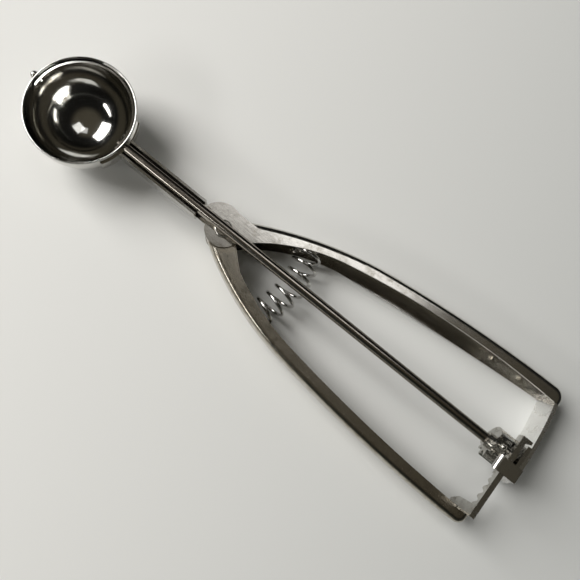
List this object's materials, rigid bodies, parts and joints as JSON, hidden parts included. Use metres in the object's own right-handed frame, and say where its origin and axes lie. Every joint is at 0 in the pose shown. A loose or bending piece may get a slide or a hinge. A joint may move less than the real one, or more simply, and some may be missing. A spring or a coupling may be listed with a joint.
{
  "type": "lever ice cream scoop",
  "caption": "Squeeze-handle ice cream scoop: a round bowl with a swinging blade that a rack and pinion turn when the two channel handles are pressed together.",
  "frame": {"origin": "centre of the bounding box in plan, at the lowest point of the bowl", "axes": "+X along the spindle from the bowl to the handles' tail, +Y towards the fixed handle, +Z out of the open bowl"},
  "size_m": [0.2374, 0.066, 0.0308],
  "materials": {
    "polished_steel": "mirror polished stainless steel",
    "handle_steel": "polished stainless sheet",
    "rod_steel": "drawn stainless rod",
    "gear_steel": "stamped steel, plated",
    "rivet_steel": "pressed steel, plated",
    "spring_steel": "bright spring wire"
  },
  "bodies": {
    "frame": {"bowl": "polished_steel", "bowl_saddle": "polished_steel", "front_pivot_pin": "polished_steel", "neck_channel": "polished_steel", "neck_rivet": "rivet_steel", "fixed_handle": "handle_steel", "bridge_plate": "handle_steel", "bridge_rivets": "rivet_steel", "tail_bracket": "handle_steel", "bracket_rivets": "rivet_steel", "pivot_rivet": "rivet_steel", "pivot_spacer": "rod_steel", "pivot_washer": "rivet_steel", "spring_seat_fixed": "rivet_steel", "return_spring": "spring_steel"},
    "lever": {"lever_handle": "handle_steel", "spring_seat_lever": "rivet_steel", "rack": "gear_steel", "rack_rivets": "rivet_steel"},
    "spindle": {"spindle": "rod_steel", "scraper": "polished_steel", "pinion": "gear_steel", "pinion_pin": "rivet_steel", "shaft_end_ring": "rivet_steel"}
  },
  "joints": [
    {"name": "lever_squeeze", "type": "hinge", "parent": "frame", "child": "lever", "pos_m": [-0.02725, -0.0015, 0.0102], "axis": [0, 0, 1], "range_deg": [0, 6.54], "stiffness_Nm_per_rad": 1.7, "springref_deg": -8.59, "deforming": ["return_spring"]},
    {"name": "spindle_turn", "type": "hinge", "parent": "frame", "child": "spindle", "pos_m": [-0.02725, -0.0015, 0.0208], "axis": [1, 0, 0], "range_deg": [-161, 0]}
  ],
  "couplings": [
    {"joint": "spindle_turn", "follows": "lever_squeeze", "ratio": -24.473}
  ]
}
